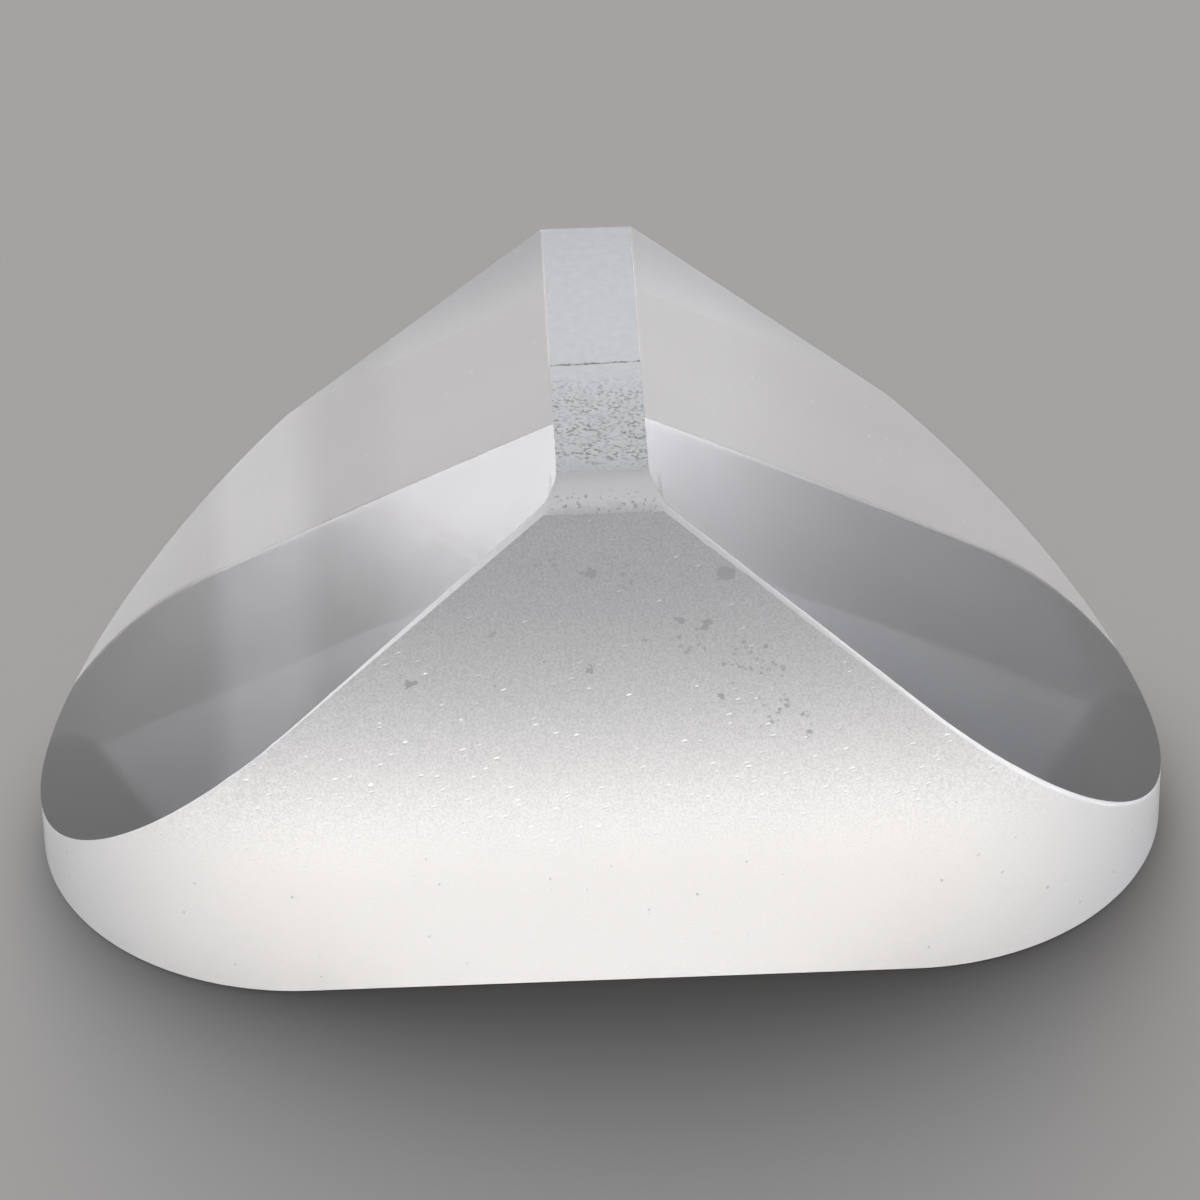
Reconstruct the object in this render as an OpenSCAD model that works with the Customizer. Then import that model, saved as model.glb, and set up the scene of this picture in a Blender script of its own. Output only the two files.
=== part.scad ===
// Right-angle glass prism, lying on its hypotenuse face.
// It is one block of optical glass. The hypotenuse face and the two roof faces are polished. The side
// walls, the rounded ends, the ridge flat and the bevels are ground.
// The origin is the middle of the hypotenuse face. +X runs along the length, +Y along the ridge to the
// rear wall, and +Z up to the ridge. Millimetres and degrees.

/* [Block] */
// Length of the hypotenuse face, tip to tip
length = 38; // [30:0.5:50]
// Width between the front and rear side walls
width = 18; // [14:0.5:24]
// Height of the end walls at the tips
end_wall_h = 2; // [1:0.1:5]
// Tilt of each roof face above the hypotenuse face
roof_tilt = 45; // [40:0.5:50]

/* [Ridge] */
// Width of the front land of the ridge flat
ridge_w = 2.9; // [1.5:0.1:5]
// Height of the front land above the rear land
ridge_step = 0.05; // [0.02:0.01:0.2]
// Place along Y of the line where the two lands meet
ridge_line_y = -1; // [-3:0.1:3]
// Length along the ridge of the bevel at its front end
ridge_bevel_l = 1.1; // [0.4:0.1:2]
// Drop of that bevel down the front wall
ridge_bevel_h = 0.7; // [0.3:0.1:1.5]

/* [Rear facet] */
// Height on the rear wall where the facet starts
facet_start = 10.7; // [6:0.1:16]
// Lean of the facet from upright, towards the ridge
facet_lean = 15.5; // [5:0.5:25]

/* [Protective bevels] */
// Bevel round the hypotenuse face
base_bevel = 0.1; // [0.05:0.05:0.8]
// Bevel at the ridge on the left front roof edge
left_edge_bevel = 0.22; // [0.05:0.01:0.5]
// Bevel at the ridge on the right front roof edge
right_edge_bevel = 0.1; // [0.05:0.01:0.5]
// Distance from the middle where those two bevels run out
edge_bevel_run = 11; // [6:0.5:14]

/* [Hidden] */
$fn = 96;

// The rounded ends are half round, so the walls run into them without an edge
end_r = width/2;
end_x = length/2 - end_r;
// The two roof planes would meet in a sharp apex above the ridge flat
roof_rise = tan(roof_tilt);
apex_h = end_wall_h + length/2*roof_rise;
ridge_h = apex_h - ridge_w/2*roof_rise;
rear_land_h = ridge_h - ridge_step;
// Where the roof planes reach the level of the hypotenuse face
roof_foot_x = apex_h/roof_rise;
// Section of one half of the blank, from the middle out to the wall, with the bevel at its foot
half_section = [
    [0, 0], [end_r - base_bevel, 0], [end_r, base_bevel], [end_r, apex_h], [0, apex_h]
];
// Cutting blocks are larger than the glass each way
cut = length + width + apex_h;

// Point on the front roof edge, at a distance x from the middle on the left (-1) or right (1)
function front_edge(side, x) = [side*x, -end_r, apex_h - x*roof_rise];

// Upright block with half-round ends, as high as the apex
module walled_blank() {
    rotate([90, 0, 90])
        linear_extrude(2*end_x, center = true) {
            polygon(half_section);
            mirror([1, 0])
                polygon(half_section);
        }
    for (side = [-1, 1])
        translate([side*end_x, 0, 0])
            rotate([0, 0, -90*side])
                rotate_extrude(angle = 180)
                    polygon(half_section);
}

// The two roof faces and the ridge flat, as one long bar
module roof_bar() {
    rotate([90, 0, 0])
        linear_extrude(2*width, center = true)
            polygon([
                [-roof_foot_x, 0], [roof_foot_x, 0],
                [ridge_w/2, ridge_h], [-ridge_w/2, ridge_h]
            ]);
}

// Everything past the plane through three points, on the side that its normal points to
module past_plane(a, b, c) {
    u = (b - a)/norm(b - a);
    n = cross(u, c - a)/norm(cross(u, c - a));
    v = cross(n, u);
    multmatrix([
        [u.x, v.x, n.x, a.x],
        [u.y, v.y, n.y, a.y],
        [u.z, v.z, n.z, a.z],
        [0, 0, 0, 1]
    ])
        translate([-cut, -cut, 0])
            cube([2*cut, 2*cut, cut]);
}

// The rear land was ground in a second pass and lies a little lower
module rear_land_cut() {
    translate([-cut/2, ridge_line_y, rear_land_h])
        cube([cut, cut, cut]);
}

// Bevel at the front end of the ridge
module ridge_bevel_cut() {
    translate([0, ridge_bevel_l - end_r, ridge_h])
        rotate([atan(ridge_bevel_h/ridge_bevel_l), 0, 0])
            translate([-cut/2, -cut, 0])
                cube([cut, cut, cut]);
}

// Upper part of the rear wall, leaning in to the ridge
module rear_facet_cut() {
    translate([0, end_r, facet_start])
        rotate([facet_lean, 0, 0])
            translate([-cut/2, 0, 0])
                cube([cut, cut, cut]);
}

// Bevel on one front roof edge, widest at the ridge and gone at the end of its run
module front_edge_cut(side, bevel) {
    runs_out = front_edge(side, edge_bevel_run);
    at_ridge = front_edge(side, ridge_w/2);
    on_roof = at_ridge + [0, bevel, 0];
    on_wall = at_ridge - [0, 0, bevel];
    if (side > 0)
        past_plane(runs_out, on_roof, on_wall);
    else
        past_plane(runs_out, on_wall, on_roof);
}

module prism() {
    color([0.84, 0.85, 0.87])
        difference() {
            intersection() {
                walled_blank();
                roof_bar();
            }
            rear_land_cut();
            ridge_bevel_cut();
            rear_facet_cut();
            front_edge_cut(-1, left_edge_bevel);
            front_edge_cut(1, right_edge_bevel);
        }
}

prism();
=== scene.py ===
import math
import bmesh
import bpy
import numpy as np
from mathutils import Matrix, Vector


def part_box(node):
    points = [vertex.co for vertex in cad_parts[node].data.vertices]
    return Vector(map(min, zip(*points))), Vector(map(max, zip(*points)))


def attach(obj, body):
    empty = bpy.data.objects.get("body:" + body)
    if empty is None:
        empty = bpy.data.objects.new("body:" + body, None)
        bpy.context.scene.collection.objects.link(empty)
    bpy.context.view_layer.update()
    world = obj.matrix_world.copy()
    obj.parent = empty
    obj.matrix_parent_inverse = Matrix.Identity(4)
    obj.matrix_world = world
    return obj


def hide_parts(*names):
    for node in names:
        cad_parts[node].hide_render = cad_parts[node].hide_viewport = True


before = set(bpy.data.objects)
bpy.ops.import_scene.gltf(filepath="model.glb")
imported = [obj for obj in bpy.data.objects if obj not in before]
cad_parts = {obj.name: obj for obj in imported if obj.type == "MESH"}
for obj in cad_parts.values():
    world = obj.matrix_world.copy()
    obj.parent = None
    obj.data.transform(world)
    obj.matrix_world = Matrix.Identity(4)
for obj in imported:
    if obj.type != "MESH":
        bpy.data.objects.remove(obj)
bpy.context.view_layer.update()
glassLow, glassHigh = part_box("prism")
scene = bpy.context.scene
mm = 0.001
print("frame loaded, glass", [round(v / mm, 2) for v in glassHigh - glassLow], "mm")

# The prism's own sizes. Length, width and ridge height come from the frame.
prismForm = {
    "halfLength": glassHigh.x,
    "halfWidth": glassHigh.y,            # also the radius of the round ends
    "ridgeHeight": glassHigh.z,
    "roofSlope": 1.0,                    # both roof faces stand at 45 degrees
    "ridgeWidth": 2.9 * mm,
    "ridgeStep": 0.05 * mm,              # rear land below front land
    "ridgeLineY": -1.6 * mm,
    "ridgeLineSkew": 0.03,               # the line between the lands runs a little out of square
    "ridgeLineGap": 0.02 * mm,           # least reach of the step to each side of the line
    "noseLength": 1.1 * mm,              # bevel at the front end of the ridge
    "noseDrop": 0.5 * mm,
    "noseSoft": 0.3 * mm,                # it rolls over into the land
    "noseLip": 0.22 * mm,                # and into the wall
    "noseLipDepth": 0.6,                 # 1 would be a full quarter circle
    "noseSteps": 8,
    "facetStart": 10.7 * mm,             # the rear wall leans in above this
    "facetLean": math.radians(15.5),
    "baseBevel": 0.02 * mm,
    # front roof edges, left and right
    "edgeBevel": (0.3 * mm, 0.12 * mm),  # at the ridge
    "edgeWorn": (0.03 * mm, 0.09 * mm),  # what is left of it further out
    "edgeRound": (0.2, 0.7),             # 0 a flat bevel, 1 a rolled edge
    "edgeWallShare": (0.6, 2.0),         # reach down the wall for each reach on the roof
    "edgeRagged": (0.6, 1.0),            # how much of the wander they show
    "edgeRaggedFrom": 2.2 * mm,          # they are clean beside the nose
    "edgeBevelRun": 11.0 * mm,
    "edgeAtTip": 0.3,                    # share of the bevel left at the tips
    "edgeLeast": 0.008 * mm,
    "edgeSteps": 6,
    "rearWorn": 0.12 * mm,               # bevel of the rear roof edges
    "cornerBlend": 0.12 * mm,            # nose and edge bevels run into each other
    "chip": 0.02 * mm,                   # how far the ground edges wander
    "nick": 0.05 * mm,                   # deepest of the single chips
    "nickBreadth": (0.04 * mm, 0.16 * mm),
    "nickCount": 40,
    "stationStep": 0.05 * mm,
    "endSteps": 60,
    "seeds": {"edge": 3, "nicks": 4, "stepTop": 5, "stepFoot": 8},
    "weld": 0.0002 * mm,                 # points closer than this are one
    "sharpFrom": math.radians(14),       # faces that meet more steeply keep a crisp edge
}

# The finish of each strip of the surface, as its place in the list of coats below
polished, seat, ground, ridge, edge = range(5)


def wander(t, size, seed):
    # A ragged line: sines of growing pitch, each with a phase of its own, added up and scaled to size.
    longest, growth, steadying = 900, 2.1, 2.5
    waves = np.arange(6)
    phases = np.random.default_rng(seed).uniform(0, 2 * np.pi, len(waves))
    pitch = longest * growth ** waves
    return size * (np.sin(np.multiply.outer(t, pitch) + phases) / (1 + waves) ** 0.5).sum(-1) / steadying


def nicks(t, form):
    # Single chips along an edge: round dips of chance place, breadth and depth, the deepest one taken.
    draw = np.random.default_rng(form["seeds"]["nicks"])
    count = form["nickCount"]
    centre = draw.uniform(-form["halfLength"], form["halfLength"], count)
    breadth = draw.uniform(*form["nickBreadth"], count)
    depth = draw.uniform(0.1, 1, count) ** 2 * form["nick"]  # most of them shallow
    return (depth * np.exp(-((t[:, None] - centre) / breadth) ** 2)).max(1)


def stations(form):
    # Places along the length: equal steps between the round ends, with one on each x where an edge of
    # the glass starts or stops, then equal angles round each end. Gives x and half width of wall and seat.
    radius, endX = form["halfWidth"], form["halfLength"] - form["halfWidth"]
    inner = radius - form["baseBevel"]
    half = form["ridgeWidth"] / 2
    stops = [0, half, half + form["ridgeStep"], half + form["noseDrop"], endX]
    inside = np.linspace(0, half, round(half / form["stationStep"]) + 1)
    outside = np.linspace(half, endX, round((endX - half) / form["stationStep"]) + 1)
    side = np.unique(np.round(np.concatenate([inside, outside, stops]), 8))
    turn = np.linspace(0, np.pi / 2, form["endSteps"])[1:]
    x = np.concatenate([side, endX + radius * np.sin(turn)])
    w = np.concatenate([side * 0 + radius, radius * np.cos(turn)])
    seatX = np.concatenate([side, endX + inner * np.sin(turn)])
    seatW = np.concatenate([side * 0 + inner, inner * np.cos(turn)])
    halves = ((x, -1), (w, 1), (seatX, -1), (seatW, 1))
    return [np.concatenate([sign * a[:0:-1], a]) for a, sign in halves]


def frontEdge(form, x, w, roof):
    # Profile of the front roof edge at each station: a quadratic curve from the wall over the sharp
    # corner to the roof, drawn back towards its chord where the bevel is flat. The bevel is widest at the
    # ridge and runs out to a worn edge. Gives lines from the wall to the roof.
    left = x < 0
    reach = form["edgeBevelRun"] - form["ridgeWidth"] / 2
    fade = np.clip((form["edgeBevelRun"] - np.abs(x)) / reach, 0, 1)
    bevel = np.where(left, *form["edgeBevel"]) * fade + np.where(left, *form["edgeWorn"]) * (1 - fade)
    ragged = wander(x, form["chip"], form["seeds"]["edge"]) * np.where(left, *form["edgeRagged"])
    ragged = ragged + nicks(x, form)
    pastNose = np.clip((np.abs(x) - form["edgeRaggedFrom"]) / mm, 0, 1)  # 1 a millimetre further out
    tip = w / form["halfWidth"]  # 1 between the round ends, 0 at the tips
    atTip = form["edgeAtTip"]
    bevel = bevel * (atTip + (1 - atTip) * tip) + ragged * pastNose * tip ** 4
    onRoof = np.clip(bevel, form["edgeLeast"], w)
    onWall = onRoof * np.where(left, *form["edgeWallShare"])
    roundness = np.where(left, *form["edgeRound"])
    lines = []
    for t in np.linspace(0, 1, form["edgeSteps"] + 1):
        belly = t * (1 - t) * (1 - roundness)
        lines.append((-w + onRoof * (t ** 2 + belly), roof - onWall * ((1 - t) ** 2 + belly)))
    return lines


def noseDepth(form, y):
    # Depth of the nose below the ridge: nothing on the land, then a parabola, then a straight slope, and
    # part of a quarter circle more where it meets the wall.
    soft, lip = form["noseSoft"], form["noseLip"]
    t = np.maximum(form["noseLength"] - form["halfWidth"] + soft - y, 0)
    slope = np.where(t < 2 * soft, t ** 2 / (4 * soft), t - soft) * form["noseDrop"] / form["noseLength"]
    roll = np.clip(1 - (y + form["halfWidth"]) / lip, 0, 1)
    return slope + lip * (1 - np.sqrt(1 - roll ** 2)) * form["noseLipDepth"]


def noseMeets(form, top):
    # Place along Y where the nose reaches a given height: the slope of noseDepth turned round.
    soft = form["noseSoft"]
    fall = np.maximum(form["ridgeHeight"] - top, 0) * form["noseLength"] / form["noseDrop"]
    t = np.where(fall < soft, 2 * np.sqrt(soft * fall), fall + soft)
    return form["noseLength"] - form["halfWidth"] + soft - t


def edgeLines(form):
    # Every edge of the glass as a line along the stations, going round a section from the seat's rear
    # edge under the seat, up the front wall, over the top and down the rear wall.
    x, w, seatX, seatW = stations(form)
    radius, seeds = form["halfWidth"], form["seeds"]
    apex = form["ridgeHeight"] + form["ridgeWidth"] / 2 * form["roofSlope"]
    roof = apex - np.abs(x) * form["roofSlope"]
    front = np.minimum(roof, form["ridgeHeight"])
    rear = np.minimum(roof, form["ridgeHeight"] - form["ridgeStep"])
    onLand = np.abs(x) < form["ridgeWidth"] / 2 + form["ridgeStep"] / 2

    def underNose(y, z):
        return np.minimum(z, form["ridgeHeight"] - noseDepth(form, y))

    # the polished roof starts where the edge bevel or the nose ends, whichever is further back, blended
    profile = frontEdge(form, x, w, front)
    roofY = profile[-1][0]
    meets = noseMeets(form, front)
    polishY = (roofY + meets) / 2 + np.sqrt((roofY - meets) ** 2 / 4 + form["cornerBlend"] ** 2)
    polishY = np.where(onLand, meets, np.minimum(polishY, w))

    # the step between the lands, chipped on both sides
    lineY = (form["ridgeLineY"] + form["ridgeLineSkew"] * x) * w / radius
    gap = form["ridgeLineGap"]
    stepTop = lineY - onLand * (gap + np.abs(wander(x, form["chip"], seeds["stepTop"])))
    stepFoot = lineY + onLand * (gap + np.abs(wander(x, form["chip"], seeds["stepFoot"])))

    lean = math.tan(form["facetLean"])
    rearWorn = form["rearWorn"] * np.minimum(w / radius * 2, 1)
    wallTop = rear - rearWorn

    def rearWall(z):
        return np.minimum(w, radius - np.maximum(z - form["facetStart"], 0) * lean)

    facetFoot = np.minimum(wallTop, form["facetStart"] + (radius - w) / lean)

    zero, rim = x * 0, x * 0 + form["baseBevel"]
    # each line, then the steps and the finish of the strip that leads to the next line
    lines = [(seatX, seatW, zero, 6, seat), (seatX, -seatW, zero, 1, seat)]
    lines += [(x, -w, rim, 8, ground)]
    lines += [(x, y, underNose(y, z), 1, edge) for y, z in profile[:-1]]
    for s in np.linspace(0, 1, form["noseSteps"] + 1)[:-1]:
        y = roofY + (polishY - roofY) * s
        lines.append((x, y, underNose(y, front), 1, edge))
    lines += [
        (x, polishY, front, 6, polished),
        (x, stepTop, front, 1, polished),
        (x, stepFoot, rear, 6, polished),
        (x, rearWall(rear) - rearWorn, rear, 1, edge),
        (x, rearWall(wallTop), wallTop, 4, ground),
        (x, w, facetFoot, 8, ground),
        (x, w, rim, 1, seat),
    ]
    return x, lines


def ruledSkin(form):
    # Straight rulings between one edge line and the next: (1 - t) * line + t * nextLine. Where a polished
    # strip crosses the ridge it takes the ridge's finish.
    x, lines = edgeLines(form)
    strips, marks = [], []
    middle = np.abs(x[1:] + x[:-1]) / 2
    ridgeTop = middle < form["ridgeWidth"] / 2 + form["ridgeStep"] / 2
    for here, after in zip(lines, lines[1:] + lines[:1]):
        a = np.stack(here[:3], -1)
        b = np.stack(after[:3], -1)
        steps, kind = here[3:]
        t = np.linspace(0, 1, steps + 1)[:-1, None]
        strips.append(a[:, None] * (1 - t) + b[:, None] * t)
        mark = np.where(ridgeTop & (kind == polished), ridge, kind)
        marks.append(np.repeat(mark[:, None], steps, 1))
    points = np.concatenate(strips, 1)
    finish = np.concatenate(marks, 1)
    count, around = points.shape[:2]
    index = np.arange(count * around).reshape(count, around)
    ahead = np.roll(index, -1, 1)
    quads = np.stack([index[:-1], index[1:], ahead[1:], ahead[:-1]], -1)
    return points.reshape(-1, 3), quads.reshape(-1, 4), finish.ravel()


def meshFrom(name, form):
    points, quads, finish = ruledSkin(form)
    mesh = bpy.data.meshes.new(name)
    mesh.from_pydata(points, [], quads)
    mesh.polygons.foreach_set("material_index", finish.astype(np.int32))
    made = bmesh.new()
    made.from_mesh(mesh)
    bmesh.ops.remove_doubles(made, verts=made.verts, dist=form["weld"])
    bmesh.ops.dissolve_degenerate(made, edges=made.edges, dist=form["weld"])
    bmesh.ops.recalc_face_normals(made, faces=made.faces)
    loose = sum(not e.is_manifold for e in made.edges)
    volume = round(made.calc_volume() / mm ** 3, 1)
    print(name, len(made.faces), "faces,", loose, "open edges,", volume, "mm3")
    made.to_mesh(mesh)
    made.free()
    mesh.shade_smooth()
    mesh.set_sharp_from_angle(angle=form["sharpFrom"])
    piece = bpy.data.objects.new(name, mesh)
    scene.collection.objects.link(piece)
    return piece


class Wire:
    # One socket. Sums and products of wires and numbers add Math nodes to its tree.
    def __init__(self, tree, socket=None):
        self.tree, self.socket = tree, socket

    def node(self, kind, settings=None, inputs=None, out=0):
        made = self.tree.nodes.new(kind)
        for key, value in (settings or {}).items():
            setattr(made, key, value)
        for key, value in (inputs or {}).items():
            if isinstance(value, Wire):
                self.tree.links.new(value.socket, made.inputs[key])
            else:
                made.inputs[key].default_value = value
        return Wire(self.tree, made.outputs[out] if len(made.outputs) else None)

    def beside(self, out):
        # another output of the same node
        return Wire(self.tree, self.socket.node.outputs[out])

    def math(self, operation, a, b=0.0):
        return self.node("ShaderNodeMath", {"operation": operation}, {0: a, 1: b})

    def vector(self, operation, *inputs, out=0):
        return self.node("ShaderNodeVectorMath", {"operation": operation}, dict(enumerate(inputs)), out)

    def __add__(self, other):
        return self.math("ADD", self, other)

    def __radd__(self, other):
        return self.math("ADD", other, self)

    def __sub__(self, other):
        return self.math("SUBTRACT", self, other)

    def __rsub__(self, other):
        return self.math("SUBTRACT", other, self)

    def __mul__(self, other):
        return self.math("MULTIPLY", self, other)

    def __rmul__(self, other):
        return self.math("MULTIPLY", other, self)

    def __lt__(self, other):
        return self.math("LESS_THAN", self, other)

    def __gt__(self, other):
        return self.math("GREATER_THAN", self, other)

    def __abs__(self):
        return self.math("ABSOLUTE", self)

    def most(self, other):
        # the larger of the two
        return self.math("MAXIMUM", self, other)

    def between(self, low, high):
        # 0 at low, 1 at high, smooth in between, either way round
        limits = {"Value": self, "From Min": low, "From Max": high}
        return self.node("ShaderNodeMapRange", {"interpolation_type": "SMOOTHSTEP"}, limits)

    def value(self, a, b):
        # number a where this wire is 0, number b where it is 1
        return self * (b - a) + a

    def mix(self, a, b, blend="MIX"):
        # colour a where this wire is 0, colour b (or the blend of both) where it is 1
        settings = {"data_type": "RGBA", "blend_type": blend}
        return self.node("ShaderNodeMix", settings, {0: self, 6: a, 7: b}, 2)

    def noise(self, pitch, detail):
        # soft noise on this vector, with lumps about one pitch apart
        return self.node("ShaderNodeTexNoise", None, {"Vector": self, "Scale": 1 / pitch, "Detail": detail})

    def shake(self, pitch, reach):
        # this vector moved about by noise, by up to about a quarter of reach each way
        lumps = self.node("ShaderNodeTexNoise", None, {"Vector": self, "Scale": 1 / pitch}, 1)
        off = self.vector("SUBTRACT", lumps, (0.5, 0.5, 0.5))
        return self.vector("MULTIPLY_ADD", off, (reach, reach, reach), self)

    def axes(self):
        split = self.node("ShaderNodeSeparateXYZ", None, {"Vector": self})
        return split, split.beside(1), split.beside(2)

    def spots(self, pitch, share, radius, ragged, flat=0.4):
        # Scattered spots on this vector: one to a cell, in a share of the cells, with ragged rims.
        # 1 over the flat middle of a spot and 0 outside.
        moved = self.shake(radius / 1.5, radius * ragged * 4)
        cell = self.node("ShaderNodeTexVoronoi", None, {"Vector": moved, "Scale": 1 / pitch})
        chance = self.node("ShaderNodeSeparateColor", None, {"Color": cell.beside("Color")})
        return cell.between(radius / pitch, radius / pitch * flat) * (chance < share)

    def bump(self):
        # the surface's normal with this wire as height in metres
        return self.node("ShaderNodeBump", None, {"Strength": 1.0, "Distance": 1.0, "Height": self})


def newMaterial(name):
    material = bpy.data.materials.new(name)
    material.use_nodes = True
    tree = material.node_tree
    tree.nodes.clear()
    wire = Wire(tree)
    place = wire.node("ShaderNodeTexCoord", out="Object")
    return material, wire, place


def finishMaterial(wire, shader):
    wire.node("ShaderNodeOutputMaterial", None, {"Surface": shader})


# In all looks below, a ramp gives the two levels of a noise between which a mark grows from none to full
glassLook = {
    "ior": 1.54,
    "clear": (1.0, 0.976, 0.989, 1),
    "haze": 0.03,                        # roughness of the roofs
    "seatHaze": 0.07,
    "hazePitch": 4 * mm,
    "hazeRamp": (0.3, 0.7),
    "hazeLeast": 0.85,                   # share of the haze that is everywhere
    "hazeDrift": 0.3,                    # share that comes in drifts
}


def polishedMaterial(name, haze):
    # clear glass with a breath of haze in drifts
    look = glassLook
    material, wire, place = newMaterial(name)
    drift = place.noise(look["hazePitch"], 4.0).between(*look["hazeRamp"])
    shader = wire.node("ShaderNodeBsdfPrincipled", None, {
        "Base Color": look["clear"],
        "Roughness": drift * (haze * look["hazeDrift"]) + haze * look["hazeLeast"],
        "IOR": look["ior"],
        "Transmission Weight": 1.0,
    })
    finishMaterial(wire, shader)
    return material


groundLook = {
    "roughness": 0.63,                   # in the dips of the grain
    "grainRoughness": 0.1,               # more on its tops
    "pitRoughness": 0.2,                 # less in the pits
    "glintRoughness": 0.35,              # less on the scratches
    "white": (1.0, 1.0, 1.0, 1),
    "shade": (0.62, 0.625, 0.635, 1),    # in the dips of the grain
    "shadeRamp": (0.7, 0.3),
    "shadeFine": 0.8,                    # share of the fine grain in it, the rest is the coarse one
    "paintedShade": (0.57, 0.585, 0.625, 1),    # painted shade over the grain, darker up the front wall towards the ridge
    "paintedShadeHeight": (9.5 * mm, 17 * mm),
    "paintedShadeStrength": 0.9,
    "pitColour": (0.28, 0.29, 0.31, 1),
    "pitStrength": 0.85,
    "smooth": (8 * mm, 4 * mm),          # the wall's foot is finer ground
    "smoothShade": 0.85,                 # share of the shade that is lost there
    "smoothGlints": 0.7,                 # and of the scratches
    "frontPowder": (0.04, 0.24),         # share that scatters light on through: front wall and its foot
    "rearPowder": 0.36,
    "facetPowder": (0.28, 0.18),         # foot and top of the rear facet
    "rearReach": 0.7,                    # share of the half width at which the rear's powder is full
    "grainPitch": 0.085 * mm,
    "grainDepth": 0.008 * mm,
    "coarsePitch": 0.28 * mm,
    "pitPitch": 0.4 * mm,
    "pitShare": 0.05,                    # cells that hold a pit
    "pitRadius": 0.075 * mm,
    "pitRagged": 0.6,
    "pitDepth": 0.02 * mm,
    "specklePitch": 0.3 * mm,
    "speckleShare": 0.8,
    "speckleRadius": 0.11 * mm,
    "speckleRim": 0.6,                   # share of a speckled area that is full
    # glints are short scratches that rise to the right, their colour painted white as a painted highlight
    "glintPitch": 0.24 * mm,
    "glintRadius": 0.05 * mm,
    "glintRagged": 0.5,
    "glintFlat": 0.7,
    "glintShare": (0.05, 0.33),          # cells that hold one, at the top of the wall and lower down
    "glintHeight": (16 * mm, 11 * mm),
    "glintTilt": math.radians(18),
    "glintStretch": (2.2, 1, 0.75),
    "glintShadow": 0.06 * mm,            # each has a painted shadow, a dark side below
    "glintShade": 0.6,
    "glintLean": (0.25, 0.85),           # they lean back and catch the light from above
    "glintLeanRamp": (0.35, 0.65),
    "patchShake": [(0.35 * mm, 0.7 * mm), (0.09 * mm, 0.25 * mm)],  # pitch and reach
    # x, z and radius in mm of the worn patches on the front wall
    "worn": [
        (-0.5, 16.6, 0.3), (-2.1, 17.1, 0.17), (-3.6, 14.3, 0.15), (-0.6, 12.8, 0.2), (-6.3, 12.5, 0.24),
        (3.7, 16.4, 0.34), (3.1, 14.5, 0.3), (2.2, 14.7, 0.2), (0.8, 16.4, 0.13), (1.2, 13.9, 0.12),
        (3.7, 11.6, 0.2), (6.5, 9.9, 0.2),
    ],
    "wornReach": 1.35,                   # their ragged rims reach past the radius
    "wornRagged": 1.6,
    "wornRim": (0.36, 0.56),             # a patch starts and is full at these levels of its ragged middle
    "wornRamp": (0.2, 0.45),
    # the same for areas with many small pits
    "speckled": [(2.7, 13.8, 0.9), (4.6, 12.8, 1.5), (-2.1, 16.9, 0.8), (0.6, 16.6, 0.7), (5.6, 10.6, 1.3)],
}


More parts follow.
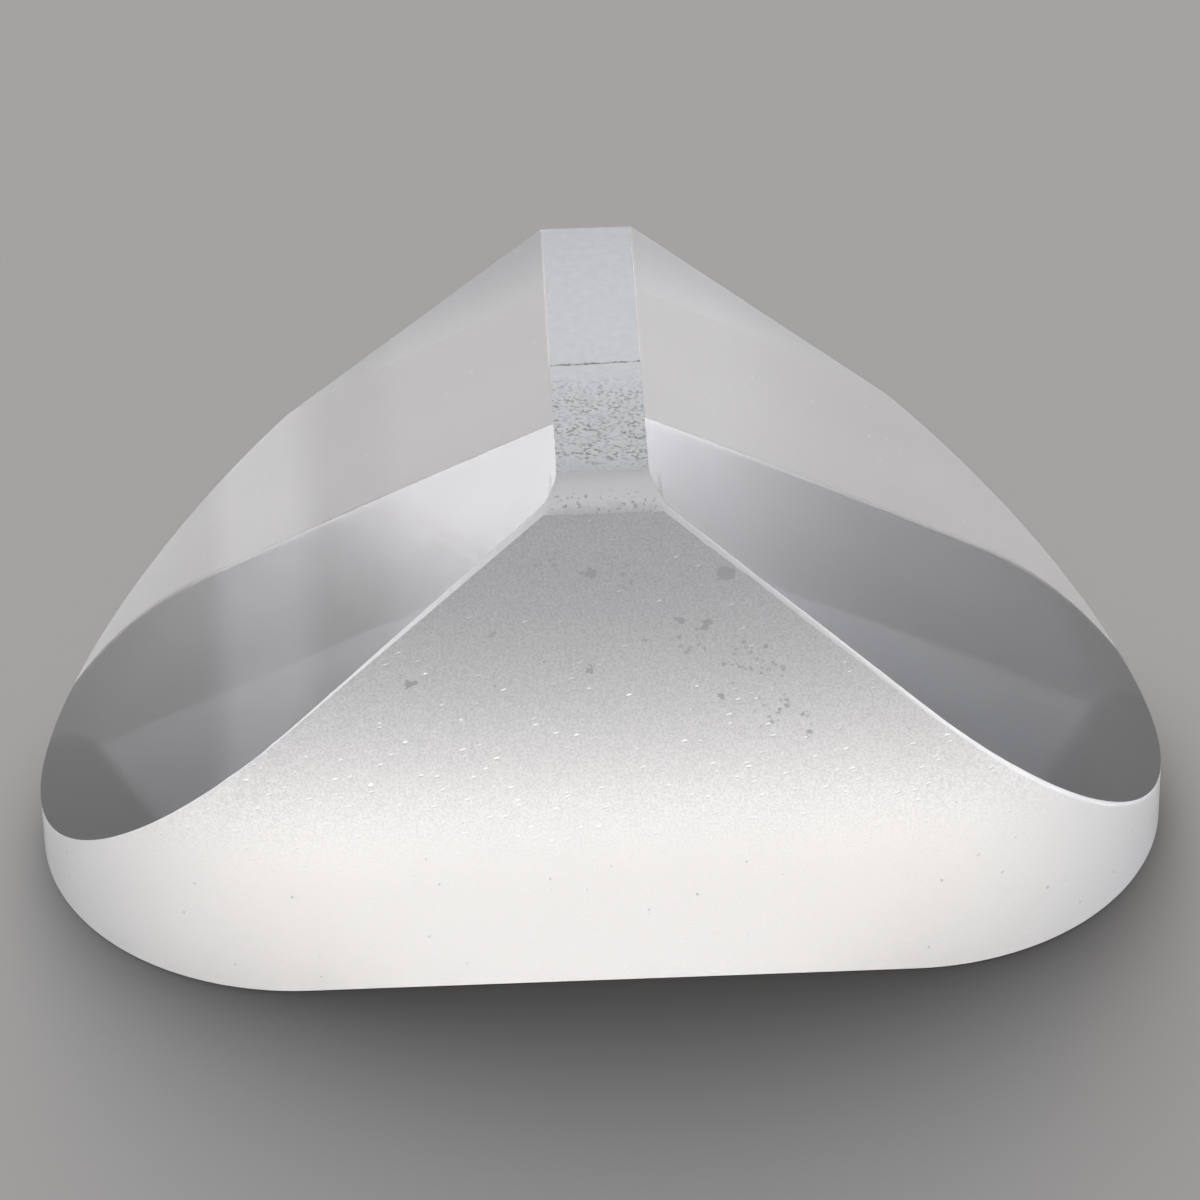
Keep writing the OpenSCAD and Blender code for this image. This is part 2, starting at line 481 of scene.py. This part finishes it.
def groundMaterial():
    # fine ground wall: grain, dark pits, worn patches and short bright scratches; painted shade darkens it
    # towards the ridge, and the scratches carry a painted highlight and a painted shadow below
    look = groundLook
    material, wire, place = newMaterial("groundGlass")
    y, z = place.axes()[1:]
    grain = place.noise(look["grainPitch"], 2.0)
    coarse = place.noise(look["coarsePitch"], 3.0)
    low = z.between(*look["smooth"])
    frontOnly = (1 - low * look["smoothGlints"]) * (y < 0)  # no scratches behind, faint ones at the foot
    glintShare = z.between(*look["glintHeight"]).value(*look["glintShare"])

    def dashes(drop):
        # the scratches, moved down by drop
        along = wire.node("ShaderNodeMapping", {"vector_type": "TEXTURE"}, {
            "Vector": place,
            "Location": (0, 0, -drop),
            "Rotation": (0, -look["glintTilt"], 0),
            "Scale": look["glintStretch"],
        })
        shape = look["glintRadius"], look["glintRagged"], look["glintFlat"]
        return along.spots(look["glintPitch"], glintShare, *shape) * frontOnly

    shaken = place
    for pitch, reach in look["patchShake"]:
        shaken = shaken.shake(pitch, reach)

    def patch(spotX, spotZ, radius, rim):
        # 1 near one spot of the front wall, fading to 0 at its radius
        away = wire.vector("DISTANCE", shaken, (spotX * mm, glassLow.y, spotZ * mm), out="Value")
        return away.between(radius * mm, radius * mm * rim)

    scratchesPaintedBright = dashes(0.0)
    pits = place.spots(look["pitPitch"], look["pitShare"], look["pitRadius"], look["pitRagged"])
    # painted shadow: a dark copy of each scratch just below it, carried in with the pits
    pits = pits.most(dashes(look["glintShadow"]) * (1 - scratchesPaintedBright) * look["glintShade"])
    speckle = look["specklePitch"], look["speckleShare"], look["speckleRadius"]
    small = place.spots(*speckle, look["pitRagged"])
    for spot in look["speckled"]:
        pits = pits.most(small * patch(*spot, look["speckleRim"]))
    for spotX, spotZ, radius in look["worn"]:
        middle = patch(spotX, spotZ, radius * look["wornReach"], 0.0)
        ragged = middle + coarse * look["wornRagged"] - look["wornRagged"] / 2
        pits = pits.most(ragged.between(*look["wornRim"]) * grain.between(*look["wornRamp"]))

    bump = (grain * look["grainDepth"] - pits * look["pitDepth"]).bump()
    lean = scratchesPaintedBright * coarse.between(*look["glintLeanRamp"]).value(*look["glintLean"])
    leaning = wire.vector("MULTIPLY_ADD", lean, (0, 0, 1), bump)

    fine, shadeRamp = look["shadeFine"], look["shadeRamp"]
    dips = grain.between(*shadeRamp) * fine + coarse.between(*shadeRamp) * (1 - fine)
    tone = (dips * (1 - low * look["smoothShade"])).mix(look["white"], look["shade"])
    # painted shade: the colour darkens up the front wall towards the ridge
    paintedShadeMask = z.between(*look["paintedShadeHeight"]) * look["paintedShadeStrength"]
    tone = paintedShadeMask.mix(tone, look["paintedShade"], "MULTIPLY")
    tone = (pits * look["pitStrength"]).mix(tone, look["pitColour"])
    rough = grain * look["grainRoughness"] + look["roughness"]
    glass = wire.node("ShaderNodeBsdfPrincipled", None, {
        # painted highlight: the scratches are painted white over the grain, shade and pits
        "Base Color": scratchesPaintedBright.mix(tone, look["white"]),
        "Roughness": rough - pits * look["pitRoughness"] - scratchesPaintedBright * look["glintRoughness"],
        "IOR": glassLook["ior"],
        "Transmission Weight": 1.0,
        "Normal": wire.vector("NORMALIZE", leaning),
    })

    # the powdery part of the light, by height on the front wall, the rear wall and its facet
    powder = wire.node("ShaderNodeBsdfTranslucent", None, {"Color": look["white"], "Normal": bump})
    facetStart = prismForm["facetStart"]
    frontShare = low.value(*look["frontPowder"])
    facetShare = z.between(facetStart, glassHigh.z).value(*look["facetPowder"])
    rearShare = (z > facetStart).value(look["rearPowder"], facetShare)
    share = y.between(0.0, glassHigh.y * look["rearReach"]).value(frontShare, rearShare)
    mixed = wire.node("ShaderNodeMixShader", None, {"Fac": share * (1 - scratchesPaintedBright), 1: glass, 2: powder})
    finishMaterial(wire, mixed)
    return material


ridgeLook = {
    "roughness": 0.68,                   # in the dips of the grain
    "grainRoughness": 0.15,
    "pitRoughness": 0.3,                 # less in the pits
    "white": (0.80, 0.815, 0.84, 1),
    "pitColour": (0.10, 0.105, 0.115, 1),
    "clear": 0.68,                       # the rest is powdery white
    "grainPitch": 0.07 * mm,
    "grainDepth": 0.003 * mm,
    "pitPitch": 0.11 * mm,
    "pitStretch": 0.85,                  # pits lie across the ridge
    "pitRamp": (0.53, 0.36),
    "pitStrength": 0.85,
    "pitDepth": 0.05 * mm,
    "pittedFrom": (-1.6 * mm, -4.0 * mm),    # y where the pits start and are full
    "pittedTo": (-8.1 * mm, -6.7 * mm),      # y where they have thinned out and begin to
    "pittedLeast": 0.2,                      # share left at the nose
    "patchPitch": 0.7 * mm,                  # pits gather in patches
    "patchRamp": (0.35, 0.6),
    "patchLeast": 0.3,                       # share of them outside the patches
    "lineWidth": 0.1 * mm,
    "lineFlat": 0.4,                     # share of the line's width that is full
    "lineWander": 0.2 * mm,
    "lineWanderPitch": 0.14 * mm,
    "lineGapPitch": 0.35 * mm,           # the line is broken here and there
    "lineGapRamp": (0.25, 0.5),
    "drift": (0.74, 0.75, 0.775, 1),     # the lands are a little uneven in tone
    "driftPitch": 0.3 * mm,
    "driftRamp": (0.3, 0.7),
    "fore": (0.64, 0.655, 0.68, 1),      # they dull towards the nose
    "foreFrom": (-6.6 * mm, -7.9 * mm),
}


def ridgeMaterial():
    # ridge lands: the front one coarse and pitted, the rear one smooth, with a chipped line between
    look, form = ridgeLook, prismForm
    material, wire, place = newMaterial("ridgeGlass")
    x, y = place.axes()[:2]
    past = y - x * form["ridgeLineSkew"] - form["ridgeLineY"]
    pitted = y.between(*look["pittedFrom"]) * y.between(*look["pittedTo"]).value(look["pittedLeast"], 1)
    grain = place.noise(look["grainPitch"], 3.0)
    across = wire.node("ShaderNodeMapping", None, {"Vector": place, "Scale": (look["pitStretch"], 1, 1)})
    coarse = across.noise(look["pitPitch"], 3.0)
    patches = place.noise(look["patchPitch"], 2.0).between(*look["patchRamp"]).value(look["patchLeast"], 1)
    pits = coarse.between(*look["pitRamp"]) * pitted * patches
    ragged = place.noise(look["lineWanderPitch"], 3.0) * look["lineWander"] - look["lineWander"] / 2
    line = abs(past + ragged).between(look["lineWidth"], look["lineWidth"] * look["lineFlat"])
    line = line * place.noise(look["lineGapPitch"], 2.0).between(*look["lineGapRamp"])
    dark = (pits * look["pitStrength"]).most(line)
    drift = place.noise(look["driftPitch"], 4.0).between(*look["driftRamp"])
    tone = drift.mix(look["drift"], look["white"])
    tone = y.between(*look["foreFrom"]).mix(tone, look["fore"])
    height = grain * look["grainDepth"] + coarse * pitted * look["pitDepth"] - line * look["pitDepth"]
    shader = wire.node("ShaderNodeBsdfPrincipled", None, {
        "Base Color": dark.mix(tone, look["pitColour"]),
        "Roughness": grain * look["grainRoughness"] + look["roughness"] - dark * look["pitRoughness"],
        "IOR": glassLook["ior"],
        "Transmission Weight": look["clear"],
        "Normal": height.bump(),
    })
    finishMaterial(wire, shader)
    return material


edgeLook = {
    "roughness": 0.56,                   # in the dips of the grain
    "grainRoughness": 0.2,
    "white": (0.97, 0.985, 1.0, 1),
    "clear": 0.95,
    "grainPitch": 0.05 * mm,
    "grainDepth": 0.004 * mm,
    "grainRamp": (0.65, 0.35),
    "grainShade": 0.15,                  # on the nose, the grain darkens by this much
    "noseHalf": (2.0 * mm, 1.4 * mm),    # reach of the nose to each side, and where it is full
    "pitColour": (0.35, 0.36, 0.38, 1),
    "pitPitch": 0.15 * mm,
    "pitRamp": (0.43, 0.33),
    "pitted": (-8.2 * mm, -8.6 * mm),    # y where the pits start and are full
    "foot": (0.60, 0.61, 0.64, 1),       # the nose dulls towards the wall
    "footFrom": (-8.65 * mm, -9.0 * mm),
    "footStrength": 0.8,
    "footWander": 0.5 * mm,
    "footPitch": 0.25 * mm,
}


def edgeMaterial():
    # bevelled edges, ground and worn bright, with a few pits on the nose
    look = edgeLook
    material, wire, place = newMaterial("edgeGlass")
    x, y = place.axes()[:2]
    grain = place.noise(look["grainPitch"], 3.0)
    nose = abs(x).between(*look["noseHalf"])
    pitted = nose * y.between(*look["pitted"])
    pits = place.noise(look["pitPitch"], 3.0).between(*look["pitRamp"]) * pitted
    shaded = grain.between(*look["grainRamp"]) * nose * look["grainShade"]
    tone = shaded.mix(look["white"], look["pitColour"])
    ragged = y + place.noise(look["footPitch"], 3.0) * look["footWander"] - look["footWander"] / 2
    tone = (ragged.between(*look["footFrom"]) * nose * look["footStrength"]).mix(tone, look["foot"])
    shader = wire.node("ShaderNodeBsdfPrincipled", None, {
        "Base Color": pits.mix(tone, look["pitColour"]),
        "Roughness": grain * look["grainRoughness"] + look["roughness"],
        "IOR": glassLook["ior"],
        "Transmission Weight": look["clear"],
        "Normal": (grain * look["grainDepth"]).bump(),
    })
    finishMaterial(wire, shader)
    return material


prism = meshFrom("prismGlass", prismForm)
coats = [
    polishedMaterial("polishedGlass", glassLook["haze"]),
    polishedMaterial("seatGlass", glassLook["seatHaze"]),
    groundMaterial(),
    ridgeMaterial(),
    edgeMaterial(),
]
for coat in coats:
    prism.data.materials.append(coat)
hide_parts("prism")
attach(prism, "root")
print("glass made")

# Floor just under the seat, so that a film of air stays between them. Out of the picture it has a ring of
# painted light and a ring of painted shade, which the roofs mirror as soft upright bands.
floorLook = {
    "size": 4.0,
    "gap": 0.03 * mm,
    "colour": (0.38, 0.365, 0.345, 1),
    "paintedLightRing": (0.92, 0.91, 0.90, 1),
    "paintedShadeRing": (0.30, 0.29, 0.28, 1),
    "farColour": (0.55, 0.54, 0.53, 1),
    "ringLeft": (0.2, 0.263, 0.38, 0.6),     # how far out the painted light ring starts, is full, fades, ends
    "ringRight": (0.15, 0.42, 0.6, 0.9),
    "sideBlend": 0.05,                       # left turns into right over this reach of x
    "far": (1.0, 1.9),                       # the painted shade ring fades into the far floor
    "roughness": 0.9,
    "specular": 0.1,
}


def makeFloor():
    look = floorLook
    half, z = look["size"] / 2, -look["gap"]
    corners = [(-half, -half, z), (half, -half, z), (half, half, z), (-half, half, z)]
    mesh = bpy.data.meshes.new("floor")
    mesh.from_pydata(corners, [], [(0, 1, 2, 3)])
    material, wire, place = newMaterial("paleFloor")
    away = wire.vector("LENGTH", place, out="Value")
    side = place.axes()[0].between(-look["sideBlend"], look["sideBlend"])  # 0 to the left, 1 to the right
    limits = zip(look["ringLeft"], look["ringRight"])
    starts, full, fades, ends = [side.value(left, right) for left, right in limits]
    # painted light ring, then painted shade ring, on the floor round the glass
    tone = away.between(starts, full).mix(look["colour"], look["paintedLightRing"])
    tone = away.between(fades, ends).mix(tone, look["paintedShadeRing"])
    shader = wire.node("ShaderNodeBsdfPrincipled", None, {
        "Base Color": away.between(*look["far"]).mix(tone, look["farColour"]),
        "Roughness": look["roughness"],
        "Specular IOR Level": look["specular"],
    })
    finishMaterial(wire, shader)
    mesh.materials.append(material)
    floor = bpy.data.objects.new("floor", mesh)
    scene.collection.objects.link(floor)


makeFloor()

# Soft studio: a dim room with broad glows, each towards a direction and fading between two angles from it
studio = {
    "room": (0.06, 0.06, 0.06, 1),
    "horizon": (0.58, 0.57, 0.57, 1),    # like the far floor, so that no line shows between them
    "horizonHeight": 0.2,                # sine of the angle at which it has faded
    "glows": [
        # towards, full within and gone beyond (degrees), colour
        ((0.0, 0.55, 0.83), 36, 58, (1.68, 1.71, 1.81, 1)),
        ((-0.55, 0.5, 0.67), 12, 36, (2.2, 2.34, 2.6, 1)),
        ((0.0, 0.88, 0.47), 12, 30, (2.3, 2.16, 1.98, 1)),
        ((0.0, 0.99, 0.13), 12, 28, (2.55, 2.37, 2.14, 1)),
    ],
}


def makeLight():
    world = bpy.data.worlds.new("studio")
    scene.world = world
    world.use_nodes = True
    tree = world.node_tree
    tree.nodes.clear()
    wire = Wire(tree)
    way = wire.node("ShaderNodeTexCoord", out="Generated")
    height = way.axes()[2]
    sky = height.between(studio["horizonHeight"], 0.0).mix(studio["room"], studio["horizon"])
    for towards, full, gone, colour in studio["glows"]:
        facing = wire.vector("DOT_PRODUCT", way, Vector(towards).normalized(), out="Value")
        glow = facing.between(math.cos(math.radians(gone)), math.cos(math.radians(full)))
        sky = glow.mix(sky, colour)
    light = wire.node("ShaderNodeBackground", None, {"Color": sky, "Strength": 1.0})
    wire.node("ShaderNodeOutputWorld", None, {"Surface": light})


makeLight()

# The photograph's camera, fitted to the glass's own edges
cameraFit = {
    "place": (-4.69 * mm, -165.81 * mm, 131.18 * mm),
    "yaw": math.radians(-1.642),
    "pitch": math.radians(36.389),       # down
    "roll": math.radians(-1.051),
    "focalPixels": 6192.7,
    "imagePixels": 1200,
    "sensor": 36.0,                      # mm, as Blender counts it
    "clip": (0.01, 20),
}


def makeCamera():
    fit = cameraFit
    yaw, pitch, roll = fit["yaw"], fit["pitch"], fit["roll"]
    ahead = Vector((-math.sin(yaw) * math.cos(pitch), math.cos(yaw) * math.cos(pitch), -math.sin(pitch)))
    level = Vector((math.cos(yaw), math.sin(yaw), 0))
    upright = level.cross(ahead)
    right = math.cos(roll) * level + math.sin(roll) * upright
    up = math.cos(roll) * upright - math.sin(roll) * level
    camera = bpy.data.cameras.new("camera")
    camera.sensor_width = fit["sensor"]
    camera.lens = fit["focalPixels"] / fit["imagePixels"] * fit["sensor"]
    camera.clip_start, camera.clip_end = fit["clip"]
    holder = bpy.data.objects.new("camera", camera)
    turn = Matrix((right, up, -ahead)).transposed().to_4x4()
    holder.matrix_world = Matrix.Translation(fit["place"]) @ turn
    scene.collection.objects.link(holder)
    scene.camera = holder


makeCamera()
scene.view_settings.view_transform = "Standard"
scene.cycles.max_bounces = 32            # light goes round inside the glass many times
scene.cycles.transmission_bounces = 32
scene.cycles.glossy_bounces = 32
scene.cycles.diffuse_bounces = 6
scene.cycles.caustics_refractive = False
scene.cycles.caustics_reflective = False
print("floor, light and camera set")
